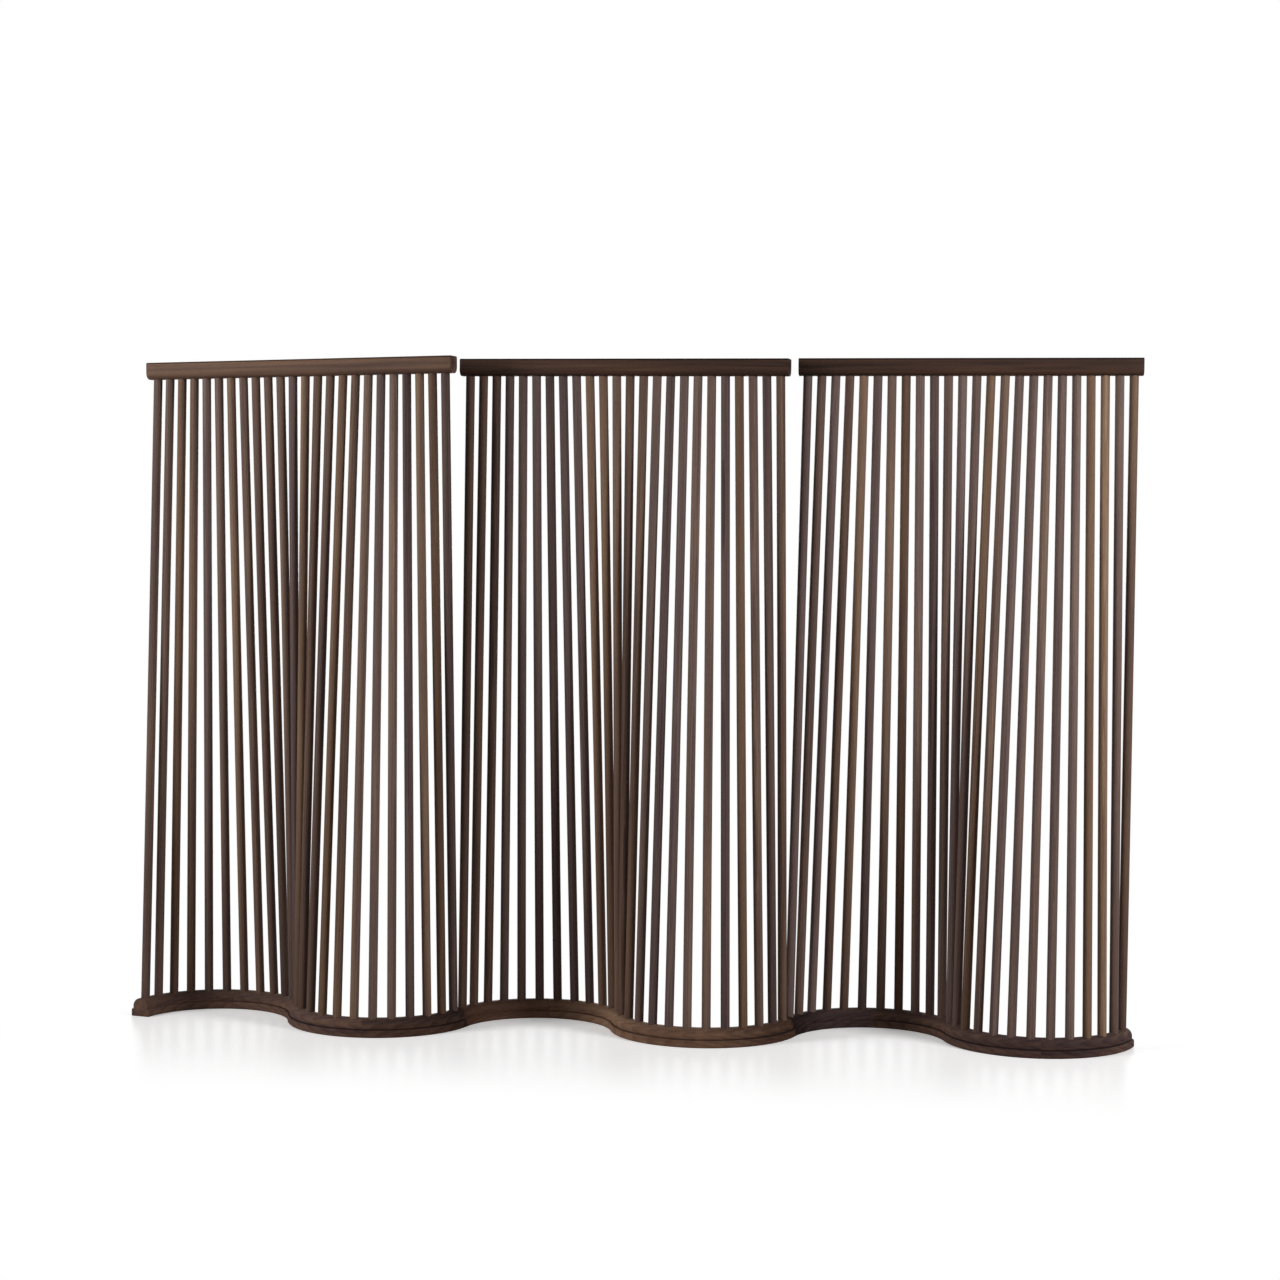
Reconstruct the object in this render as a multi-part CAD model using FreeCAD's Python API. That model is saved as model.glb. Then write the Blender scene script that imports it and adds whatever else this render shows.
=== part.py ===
import FreeCAD, Part
import math
import os

# Free-standing screen of three modules in a row, alike but for how their rails stand.
# Each module has a straight top rail, an S-shaped base and a row of straight round rods between them.
# The rods stand at equal spaces on the rail and at equal spaces along the S, so together they form
# a ruled surface that is flat at the top and waves at the foot. A rail may stand turned, tilted or
# shifted over its base, and its rods follow it.
# Millimetres. X runs along the row, Y away from the front, Z up. The origin is on the floor,
# under the middle of the centre module.

# Whole screen
SCREEN_HEIGHT = 1800.0
MODULE_NAMES = ("left", "centre", "right")

# S-shaped base: two equal arcs, measured on the centre line
BASE_RADIUS = 230.0
BASE_HALF_SWEEP = 75.0            # degrees from the middle of an arc to either of its ends
SEGMENTS_PER_ARC = 2              # each arc is glued up from this many segments
DOME_WIDTH = 44.0
DOME_WALL = 7.0                   # upright wall between the flange and the half-round top
FLANGE_HEIGHT = 21.0
FLANGE_STEP = 5.5                 # how far the flange stands out past the dome
FLANGE_ROUND = 4.0
FOOT_BEVEL = 2.0                  # eased edge along the floor
MODULE_CLEARANCE = 0.4            # between the end faces of neighbouring bases

# Top rail
RAIL_WIDTH = 50.0
RAIL_HEIGHT = 46.0
RAIL_TOP_ROUND = 5.0
RAIL_UNDER_ROUND = 18.0
RAIL_END_ROUND = 2.0
RAIL_OVERHANG = 3.0               # how far each end of the rail passes the end of the S below it
RAIL_END_MARGIN = 24.2            # from the end of the rail to the axis of the rod nearest to it

# How each module's rail stands over its base, so that neighbouring rails pass clear of each other
RAIL_SHIFT = {"left": 4.0, "centre": -1.5, "right": 23.0}    # along the row
RAIL_TURN = {"left": -10.3, "centre": -5.8, "right": 0.0}    # degrees about the upright axis
RAIL_TILT = {"left": 0.55, "centre": -0.4, "right": 0.0}     # degrees, with the right end up

# Rods and their sockets
RODS_PER_MODULE = 24
RODS_PER_NODE = 2
ROD_DIAMETER = 24.0
RAIL_SOCKET_DEPTH = 25.0          # along the rod, up from the underside of the rail
BASE_SOCKET_DEPTH = 29.0          # along the rod, down from the crest of the dome
SOCKET_CLEARANCE = 0.08           # radial glue gap round each rod

# Loose tenons across the glued seams of the base
TENON_LENGTH = 52.0
TENON_WIDTH = 34.0
TENON_THICKNESS = 8.0
TENON_CLEARANCE = 0.1

# Worked out from the sizes above
HALF_SWEEP = math.radians(BASE_HALF_SWEEP)
ARC_LENGTH = 2.0 * BASE_RADIUS * HALF_SWEEP
ARC_CHORD = 2.0 * BASE_RADIUS * math.sin(HALF_SWEEP)
MODULE_LENGTH = 2.0 * ARC_CHORD
DOME_RADIUS = DOME_WIDTH / 2.0
DOME_SPRING = FLANGE_HEIGHT + DOME_WALL
BASE_HEIGHT = DOME_SPRING + DOME_RADIUS
HALF_FLANGE = DOME_RADIUS + FLANGE_STEP
RAIL_LENGTH = MODULE_LENGTH + 2.0 * RAIL_OVERHANG
RAIL_UNDERSIDE = SCREEN_HEIGHT - RAIL_HEIGHT
RAIL_PITCH = (RAIL_LENGTH - 2.0 * RAIL_END_MARGIN) / (RODS_PER_MODULE - 1)
BASE_PITCH = 2.0 * ARC_LENGTH / RODS_PER_MODULE
TENON_LEVEL = (BASE_HEIGHT - BASE_SOCKET_DEPTH) / 2.0    # halfway between the floor and the rods' seats
SEGMENT_LENGTH = ARC_LENGTH / SEGMENTS_PER_ARC
SEGMENTS_PER_MODULE = 2 * SEGMENTS_PER_ARC

LARGEST_ROUND = 0.45              # share of a wall that a rounded edge may take
UP = FreeCAD.Vector(0, 0, 1)
ALONG = FreeCAD.Vector(1, 0, 0)
AWAY = FreeCAD.Vector(0, 1, 0)


def line(start, end):
    """Straight edge between two points."""
    return Part.LineSegment(start, end).toShape()


def arc(start, middle, end):
    """Circular edge through three points."""
    return Part.Arc(start, middle, end).toShape()


def rounded(radius, wall):
    """The radius of a rounded edge, held to less than half of the wall that it is cut from."""
    return min(radius, LARGEST_ROUND * wall)


def arc_side(travel):
    """Which arc of the S a distance along it falls on: -1 the left one, +1 the right one."""
    return -1 if travel < 0 else 1


def arc_centre(side):
    """Centre of the left (-1) or right (+1) arc; the left one bows away from the front."""
    return FreeCAD.Vector(side * ARC_CHORD / 2.0, side * BASE_RADIUS * math.cos(HALF_SWEEP), 0)


def arc_angle(travel, side):
    """Direction from an arc's centre to the point at a distance along the S from its middle."""
    if side < 0:
        return math.pi / 2.0 - HALF_SWEEP - travel / BASE_RADIUS
    return 1.5 * math.pi - HALF_SWEEP + travel / BASE_RADIUS


def s_point(travel):
    """Point of the base's centre line, on the floor, at a distance along the S from its middle."""
    side = arc_side(travel)
    angle = arc_angle(travel, side)
    return arc_centre(side) + FreeCAD.Vector(math.cos(angle), math.sin(angle), 0) * BASE_RADIUS


def base_section(centre, angle):
    """Section of the base in the upright plane through an arc's centre at the given angle."""
    radial = FreeCAD.Vector(math.cos(angle), math.sin(angle), 0)

    def at(across, height):
        return centre + radial * (BASE_RADIUS + across) + UP * height

    edge = rounded(FLANGE_ROUND, 2.0 * FLANGE_STEP)
    bevel = rounded(FOOT_BEVEL, FLANGE_HEIGHT)
    shoulder = HALF_FLANGE - edge
    slope = edge * math.sqrt(0.5)
    outline = [line(at(bevel - HALF_FLANGE, 0), at(HALF_FLANGE - bevel, 0))]
    for hand in (1, -1):
        outline += [
            line(at(hand * (HALF_FLANGE - bevel), 0), at(hand * HALF_FLANGE, bevel)),
            line(at(hand * HALF_FLANGE, bevel), at(hand * HALF_FLANGE, FLANGE_HEIGHT - edge)),
            arc(at(hand * HALF_FLANGE, FLANGE_HEIGHT - edge),
                at(hand * (shoulder + slope), FLANGE_HEIGHT - edge + slope),
                at(hand * shoulder, FLANGE_HEIGHT)),
            line(at(hand * shoulder, FLANGE_HEIGHT), at(hand * DOME_RADIUS, FLANGE_HEIGHT)),
            line(at(hand * DOME_RADIUS, FLANGE_HEIGHT), at(hand * DOME_RADIUS, DOME_SPRING)),
        ]
    outline.append(arc(at(DOME_RADIUS, DOME_SPRING), at(0, BASE_HEIGHT), at(-DOME_RADIUS, DOME_SPRING)))
    return Part.Face(Part.Wire(Part.__sortEdges__(outline)))


def segment_span(index):
    """Start and end of a base segment, as distances along the S, short of the neighbours' ends."""
    start = -ARC_LENGTH + index * SEGMENT_LENGTH
    end = start + SEGMENT_LENGTH
    if index == 0:
        start += MODULE_CLEARANCE / 2.0
    if index == SEGMENTS_PER_MODULE - 1:
        end -= MODULE_CLEARANCE / 2.0
    return start, end


def plain_segment(index):
    """One segment of the base before it is drilled: its section turned about the arc's centre."""
    start, end = segment_span(index)
    side = arc_side((start + end) / 2.0)
    centre = arc_centre(side)
    first = arc_angle(start, side)
    turn = math.degrees(arc_angle(end, side) - first)
    return base_section(centre, first).revolve(centre, UP, turn)


def seam_tenon(index, gap):
    """Loose tenon across the seam after a segment, or its mortise where a gap is given."""
    seam = segment_span(index)[1]
    side = arc_side(seam - SEGMENT_LENGTH / 2.0)
    angle = arc_angle(seam, side)
    size = (TENON_LENGTH, TENON_WIDTH, TENON_THICKNESS)
    length, width, thickness = (value + 2.0 * gap for value in size)
    tenon = Part.makeBox(length, width, thickness, FreeCAD.Vector(-length, -width, -thickness) / 2.0)
    tenon.rotate(FreeCAD.Vector(), UP, math.degrees(angle) + 90.0)
    tenon.translate(s_point(seam) + UP * TENON_LEVEL)
    return tenon


def rail_stance(module):
    """How a module's rail stands: turned and tilted about its own middle, then shifted along the row."""
    turned = FreeCAD.Rotation(UP, RAIL_TURN[module])
    tilted = FreeCAD.Rotation(AWAY, -RAIL_TILT[module])
    middle = UP * (RAIL_UNDERSIDE + RAIL_HEIGHT / 2.0)
    return FreeCAD.Placement(ALONG * RAIL_SHIFT[module], turned.multiply(tilted), middle)


def rod_ends(index, stance):
    """The two points where a rod seats: the bottoms of its sockets in the base and the rail."""
    step = index - (RODS_PER_MODULE - 1) / 2.0
    crest = s_point(step * BASE_PITCH) + UP * BASE_HEIGHT
    under = stance.multVec(ALONG * (step * RAIL_PITCH) + UP * RAIL_UNDERSIDE)
    way = (under - crest).normalize()
    return crest - way * BASE_SOCKET_DEPTH, under + way * RAIL_SOCKET_DEPTH


def rod(index, stance, gap=0.0):
    """One straight rod, from seat to seat, or the space that its sockets are drilled to."""
    low, high = rod_ends(index, stance)
    return Part.makeCylinder(ROD_DIAMETER / 2.0 + gap, (high - low).Length, low, high - low)


def drilled(blank, drills):
    """A blank less those drills that reach it."""
    return blank.cut([drill for drill in drills if drill.BoundBox.intersect(blank.BoundBox)])


def plain_rail():
    """The top rail before it is drilled: flat sides, eased top edges and a well rounded underside."""
    half = RAIL_WIDTH / 2.0
    top = rounded(RAIL_TOP_ROUND, RAIL_WIDTH)
    under = rounded(RAIL_UNDER_ROUND, RAIL_WIDTH)

    def at(across, height):
        return FreeCAD.Vector(-RAIL_LENGTH / 2.0, across, RAIL_UNDERSIDE + height)

    def corner(hand, height, radius, rise):
        slope = radius * (1.0 - math.sqrt(0.5))
        return arc(at(hand * half, height + rise * radius),
                   at(hand * (half - slope), height + rise * slope),
                   at(hand * (half - radius), height))

    outline = [
        line(at(under - half, 0), at(half - under, 0)),
        line(at(top - half, RAIL_HEIGHT), at(half - top, RAIL_HEIGHT)),
    ]
    for hand in (1, -1):
        outline += [
            corner(hand, 0, under, 1),
            corner(hand, RAIL_HEIGHT, top, -1),
            line(at(hand * half, under), at(hand * half, RAIL_HEIGHT - top)),
        ]
    bar = Part.Face(Part.Wire(Part.__sortEdges__(outline))).extrude(ALONG * RAIL_LENGTH)
    end_edges = [edge for edge in bar.Edges if edge.BoundBox.XLength < RAIL_LENGTH / 2.0]
    return bar.makeFillet(rounded(RAIL_END_ROUND, RAIL_TOP_ROUND), end_edges)


def module_pieces(stance):
    """Every piece of one module, by name, about the middle of the module."""
    sockets = [rod(index, stance, SOCKET_CLEARANCE) for index in range(RODS_PER_MODULE)]
    seams = range(SEGMENTS_PER_MODULE - 1)
    mortises = [seam_tenon(index, TENON_CLEARANCE) for index in seams]
    rail = plain_rail()
    rail.Placement = stance
    pieces = {"top_rail": drilled(rail, sockets)}
    for index in range(SEGMENTS_PER_MODULE):
        pieces[f"base_segment_{index + 1}"] = drilled(plain_segment(index), sockets + mortises)
    pieces["seam_tenons"] = Part.makeCompound([seam_tenon(index, 0.0) for index in seams])
    for first in range(0, RODS_PER_MODULE, RODS_PER_NODE):
        group = range(first, min(first + RODS_PER_NODE, RODS_PER_MODULE))
        name = f"rods_{group[0] + 1:02d}_{group[-1] + 1:02d}"
        pieces[name] = Part.makeCompound([rod(index, stance) for index in group])
    return pieces


def main():
    """Write one file for each piece of each module, in its place in the row."""
    os.makedirs("parts", exist_ok=True)
    for place, module in enumerate(MODULE_NAMES):
        shift = ALONG * ((place - (len(MODULE_NAMES) - 1) / 2.0) * MODULE_LENGTH)
        for name, shape in module_pieces(rail_stance(module)).items():
            shape.translated(shift).exportStep(f"parts/{module}_{name}.step")


main()
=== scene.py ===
import logging
import math
import random
from collections.abc import Callable, Mapping, Sequence
from dataclasses import dataclass, field
from enum import Enum

import bmesh
import bpy
import numpy as np
from mathutils import Matrix, Vector


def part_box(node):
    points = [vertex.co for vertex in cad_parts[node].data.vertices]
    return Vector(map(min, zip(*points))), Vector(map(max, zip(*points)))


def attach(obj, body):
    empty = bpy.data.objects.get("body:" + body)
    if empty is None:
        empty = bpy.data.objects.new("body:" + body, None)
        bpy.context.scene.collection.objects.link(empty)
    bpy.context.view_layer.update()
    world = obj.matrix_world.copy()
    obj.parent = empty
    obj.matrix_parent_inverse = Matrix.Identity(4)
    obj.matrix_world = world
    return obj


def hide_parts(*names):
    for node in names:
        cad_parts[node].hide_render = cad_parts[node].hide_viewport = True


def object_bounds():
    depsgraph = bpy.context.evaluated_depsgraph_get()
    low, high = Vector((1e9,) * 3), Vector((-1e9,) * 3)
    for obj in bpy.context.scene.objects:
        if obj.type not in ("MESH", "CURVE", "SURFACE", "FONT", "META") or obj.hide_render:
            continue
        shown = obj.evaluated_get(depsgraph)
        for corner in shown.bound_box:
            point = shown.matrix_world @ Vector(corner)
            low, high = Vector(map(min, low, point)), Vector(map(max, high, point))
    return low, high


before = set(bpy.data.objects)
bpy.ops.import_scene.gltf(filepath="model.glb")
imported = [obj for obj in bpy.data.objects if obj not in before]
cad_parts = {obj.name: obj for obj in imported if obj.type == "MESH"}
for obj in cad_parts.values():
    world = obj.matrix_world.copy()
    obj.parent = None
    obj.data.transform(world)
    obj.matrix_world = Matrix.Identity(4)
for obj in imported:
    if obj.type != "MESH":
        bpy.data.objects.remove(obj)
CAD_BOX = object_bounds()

# Room divider of three free-standing modules: stained rods between straight rails and S-shaped bases.
# Metres. X runs along the row, Y away from the front, Z up, with the origin on the floor under the middle.

LOG = logging.getLogger("room_divider")
Colour = tuple[float, float, float, float]
Triple = tuple[float, float, float]
Span = tuple[float, float]
WHITE: Colour = (1.0, 1.0, 1.0, 1.0)

# Points nearer than TOUCH are taken as level with each other, and those nearer than WELD are merged.
TOUCH = 1e-4
WELD = 1e-5


class Side(Enum):
    """The three modules of the row, by the place where each one stands."""

    LEFT = "left"
    CENTRE = "centre"
    RIGHT = "right"

    @property
    def body(self) -> str:
        """Name of the body that the module moves with."""
        return f"{self.value}_module"

    def node(self, piece: str) -> str:
        """Name of one of the module's nodes in the frame."""
        return f"{self.value}_{piece}"


class Kind(Enum):
    """What a selection in edit mode holds."""

    VERTS = "VERT"
    EDGES = "EDGE"
    FACES = "FACE"


class GrainSource(Enum):
    """Where a wood finish reads the direction of its grain."""

    STAMPED = "grain"
    OBJECT = "object"


class Workpiece:
    """One mesh object on the bench: started from a primitive and shaped in edit mode."""

    def __init__(self, name: str, add: Callable[..., object], **size: object) -> None:
        """Add the primitive and open it for editing.

        Args:
            name: Name of the new object and its mesh.
            add: Operator that adds the primitive.
            **size: Size and place of the primitive.
        """
        bpy.ops.object.select_all(action="DESELECT")
        add(**size)
        self.piece = bpy.context.active_object
        self.piece.name = name
        self.piece.data.name = name
        bpy.ops.object.transform_apply(location=True, rotation=True, scale=True)
        bpy.ops.object.mode_set(mode="EDIT")

    def pick(self, kind: Kind, test: Callable[[object], bool]) -> "Workpiece":
        """Select the vertices, edges or faces that pass a test, and nothing else.

        Args:
            kind: What to select.
            test: Says of each element whether it is wanted.

        Returns:
            The same workpiece, for the step that follows.
        """
        bpy.ops.mesh.select_mode(type=kind.value)
        bpy.ops.mesh.select_all(action="DESELECT")
        mesh = bmesh.from_edit_mesh(self.piece.data)
        elements = {Kind.VERTS: mesh.verts, Kind.EDGES: mesh.edges, Kind.FACES: mesh.faces}[kind]
        for element in [found for found in elements if test(found)]:
            element.select_set(True)
        mesh.select_flush_mode()
        bmesh.update_edit_mesh(self.piece.data)
        return self

    def round(self, radius: float, steps: int, corners: bool = False) -> "Workpiece":
        """Round what is selected.

        Args:
            radius: Radius of the rounding.
            steps: Number of facets in it.
            corners: True to round the corners of a flat outline, False to round edges.

        Returns:
            The same workpiece, for the step that follows.
        """
        affect = "VERTICES" if corners else "EDGES"
        bpy.ops.mesh.bevel(offset=radius, offset_type="OFFSET", segments=steps, profile=0.5,
                           affect=affect, clamp_overlap=False)
        return self

    def finish(self, crease: float) -> bpy.types.Object:
        """Close the mesh, turn its faces outwards, smooth it and leave edit mode.

        Args:
            crease: Angle in degrees past which an edge stays crisp.

        Returns:
            The finished object.
        """
        bpy.ops.mesh.select_all(action="SELECT")
        bpy.ops.mesh.remove_doubles(threshold=WELD)
        bpy.ops.mesh.normals_make_consistent(inside=False)
        bpy.ops.object.mode_set(mode="OBJECT")
        bpy.ops.object.shade_smooth_by_angle(angle=math.radians(crease))
        return self.piece


def points_of(piece: bpy.types.Object) -> np.ndarray:
    """Places of a mesh object's vertices.

    Args:
        piece: The object.

    Returns:
        One row for each vertex.
    """
    flat = np.empty(len(piece.data.vertices) * 3)
    piece.data.vertices.foreach_get("co", flat)
    return flat.reshape(-1, 3)


def stamp(piece: bpy.types.Object, grain: np.ndarray, tone: float | np.ndarray, warmth: float,
          corner: float | np.ndarray = 0.0) -> None:
    """Write a piece's wood on its mesh: where each point lies in the tree, its tone and warmth, and the
    painted shade in its inner corner.

    Args:
        piece: The object.
        grain: Places in the tree, in metres, with the grain along the third axis.
        tone: How pale the piece is, from 0 to 1, in all or point by point.
        warmth: How brown the piece is, from 0 (violet brown) to 1 (honey brown).
        corner: How much painted shade falls in the inner corner over a base's flange, from 0 to 1, in all
            or point by point.
    """
    layer = piece.data.attributes.new(GrainSource.STAMPED.value, "FLOAT_VECTOR", "POINT")
    layer.data.foreach_set("vector", grain.astype(np.float32).ravel())
    for name, value in (("tone", tone), ("warmth", warmth), ("corner", corner)):
        layer = piece.data.attributes.new(name, "FLOAT", "POINT")
        layer.data.foreach_set("value", np.broadcast_to(value, len(grain)).astype(np.float32))


class NodeSketch:
    """Short way to place nodes in a shader tree and wire them."""

    NOISE_ROUGHNESS = 0.55

    def __init__(self, tree: bpy.types.NodeTree) -> None:
        """Start on an empty tree."""
        self.tree = tree
        self.tree.nodes.clear()

    def add(self, kind: str, inputs: Mapping[object, object] | None = None,
            **settings: object) -> bpy.types.Node:
        """Place one node.

        Args:
            kind: Type of the node.
            inputs: A value or another node's socket for each named or numbered input.
            **settings: Properties of the node.

        Returns:
            The node.
        """
        node = self.tree.nodes.new(kind)
        for name, value in settings.items():
            setattr(node, name, value)
        self.feed(node, inputs or {})
        return node

    def feed(self, node: bpy.types.Node, inputs: Mapping[object, object]) -> None:
        """Set or wire the inputs of a node.

        Args:
            node: The node.
            inputs: A value or another node's socket for each named or numbered input.
        """
        for name, value in inputs.items():
            if isinstance(value, bpy.types.NodeSocket):
                self.tree.links.new(value, node.inputs[name])
            else:
                node.inputs[name].default_value = value

    def calc(self, operation: str, *values: object) -> bpy.types.NodeSocket:
        """Result of a Math node on one or two values."""
        return self.add("ShaderNodeMath", dict(enumerate(values)), operation=operation).outputs[0]

    def vector_calc(self, operation: str, one: object, two: object) -> bpy.types.NodeSocket:
        """Result of a Vector Math node on two vectors."""
        return self.add("ShaderNodeVectorMath", {0: one, 1: two}, operation=operation).outputs[0]

    def stretch(self, vector: object, scale: Triple) -> bpy.types.NodeSocket:
        """A vector with each axis multiplied by its own scale."""
        return self.vector_calc("MULTIPLY", vector, scale)

    def place(self) -> bpy.types.bpy_prop_collection:
        """X, Y and Z of the shaded point, in the object's own coordinates."""
        point = self.add("ShaderNodeTexCoord").outputs["Object"]
        return self.add("ShaderNodeSeparateXYZ", {0: point}).outputs

    def attribute(self, name: str) -> bpy.types.NodeSocket:
        """A number that is stamped on the mesh."""
        return self.add("ShaderNodeAttribute", attribute_name=name).outputs["Fac"]

    def ease(self, value: object, low: float, high: float) -> bpy.types.NodeSocket:
        """A smooth step from 0 at the low value to 1 at the high one."""
        inputs = {"Value": value, "From Min": low, "From Max": high}
        return self.add("ShaderNodeMapRange", inputs, interpolation_type="SMOOTHSTEP").outputs[0]

    def noise(self, vector: object, scale: Triple, detail: float) -> bpy.types.Node:
        """A noise texture on a stretched vector."""
        inputs = {"Vector": self.stretch(vector, scale), "Scale": 1.0, "Detail": detail}
        return self.add("ShaderNodeTexNoise", inputs | {"Roughness": self.NOISE_ROUGHNESS})

    def blend(self, mode: str, factor: object, under: object, over: object) -> bpy.types.NodeSocket:
        """Two colours mixed in the given way."""
        inputs = {0: factor, 6: under, 7: over}
        return self.add("ShaderNodeMix", inputs, data_type="RGBA", blend_type=mode).outputs[2]

    def ramp(self, factor: object, colours: Sequence[Colour]) -> bpy.types.NodeSocket:
        """A run of evenly spaced colours.

        Args:
            factor: Where the run is read, from 0 to 1.
            colours: The colours, from first to last.

        Returns:
            The colour at that place.
        """
        node = self.add("ShaderNodeValToRGB", {0: factor})
        stops = node.color_ramp.elements
        while len(stops) < len(colours):
            stops.new(0.5)
        for place, colour in enumerate(colours):
            stops[place].position = place / (len(colours) - 1)
            stops[place].color = colour
        return node.outputs[0]


class ShaderGroup:
    """A node group that several finishes place, with named inputs and outputs."""

    def __init__(self, name: str, inputs: Mapping[str, str], outputs: Mapping[str, str]) -> None:
        """Make the group and its sockets.

        Args:
            name: Name of the group.
            inputs: Socket type of each input.
            outputs: Socket type of each output.
        """
        self.tree = bpy.data.node_groups.new(name, "ShaderNodeTree")
        self.sketch = NodeSketch(self.tree)
        for way, sockets in (("INPUT", inputs), ("OUTPUT", outputs)):
            for label, kind in sockets.items():
                socket = f"NodeSocket{kind}"
                self.tree.interface.new_socket(name=label, in_out=way, socket_type=socket)
        self.given = self.sketch.add("NodeGroupInput").outputs

    def put_out(self, results: Mapping[str, bpy.types.NodeSocket]) -> None:
        """Wire the results to the group's outputs."""
        self.sketch.add("NodeGroupOutput", results)

    def place(self, sketch: NodeSketch,
              inputs: Mapping[str, object]) -> bpy.types.bpy_prop_collection:
        """Put the group in a material.

        Args:
            sketch: The material's tree.
            inputs: A value or socket for each of the group's inputs.

        Returns:
            The group's outputs in that material.
        """
        return sketch.add("ShaderNodeGroup", inputs, node_tree=self.tree).outputs


class WoodFigure(ShaderGroup):
    """Growth rings, fibres, pores and knots of the wood, from a place in the tree."""

    WANDER: Triple = (9.0, 9.0, 1.1)
    WANDER_REACH: Triple = (0.016, 0.016, 0.0)
    FIBRE: Triple = (620.0, 620.0, 9.0)
    PORE: Triple = (1900.0, 1900.0, 75.0)
    DRIFT: Triple = (55.0, 55.0, 1.6)
    MOTTLE: Triple = (130.0, 130.0, 60.0)
    NOISE_MIDDLE = 0.5
    RING_GROWS: Span = (0.0, 0.75)
    RING_ENDS: Span = (1.0, 0.88)
    RING_SHARE = 0.45
    FIBRE_SHARE = 0.55
    PORE_EDGE: Span = (0.60, 0.70)
    KNOTS_PER_METRE = 24.0
    KNOT_CHOICE = 0.985
    KNOT_EDGE: Span = (0.17, 0.08)

    def __init__(self) -> None:
        """Build the group."""
        super().__init__("wood_figure", {"Grain": "Vector", "Ring Spacing": "Float", "Mottle": "Float"},
                         {"Figure": "Float", "Drift": "Float", "Pores": "Float", "Knots": "Float"})
        draw, grain = self.sketch, self.given["Grain"]
        middle = (self.NOISE_MIDDLE,) * 3
        wander = draw.vector_calc("SUBTRACT", draw.noise(grain, self.WANDER, 2.0).outputs["Color"], middle)
        bent = draw.vector_calc("ADD", grain, draw.stretch(wander, self.WANDER_REACH))
        flat = draw.stretch(bent, (1.0, 1.0, 0.0))
        across = draw.add("ShaderNodeVectorMath", {0: flat}, operation="LENGTH").outputs["Value"]
        year = draw.calc("FRACT", draw.calc("DIVIDE", across, self.given["Ring Spacing"]))
        ring = draw.calc("MULTIPLY", draw.ease(year, *self.RING_GROWS), draw.ease(year, *self.RING_ENDS))
        fibre = draw.noise(bent, self.FIBRE, 4.0).outputs[0]
        drift = draw.noise(grain, self.DRIFT, 2.0).outputs[0]
        figure = draw.calc("ADD", draw.calc("MULTIPLY", ring, self.RING_SHARE),
                           draw.calc("MULTIPLY", fibre, self.FIBRE_SHARE))
        mottle = draw.calc("SUBTRACT", draw.noise(bent, self.MOTTLE, 3.0).outputs[0], self.NOISE_MIDDLE)
        figure = draw.calc("ADD", figure, draw.calc("MULTIPLY", mottle, self.given["Mottle"]))
        pores = draw.ease(draw.noise(grain, self.PORE, 1.0).outputs[0], *self.PORE_EDGE)
        cells = draw.add("ShaderNodeTexVoronoi", {"Vector": grain, "Scale": self.KNOTS_PER_METRE}).outputs
        lot = draw.add("ShaderNodeSeparateColor", {0: cells["Color"]}).outputs[0]
        chosen = draw.calc("GREATER_THAN", lot, self.KNOT_CHOICE)
        knots = draw.calc("MULTIPLY", chosen, draw.ease(cells["Distance"], *self.KNOT_EDGE))
        self.put_out({"Figure": figure, "Drift": drift, "Pores": pores, "Knots": knots})


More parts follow.
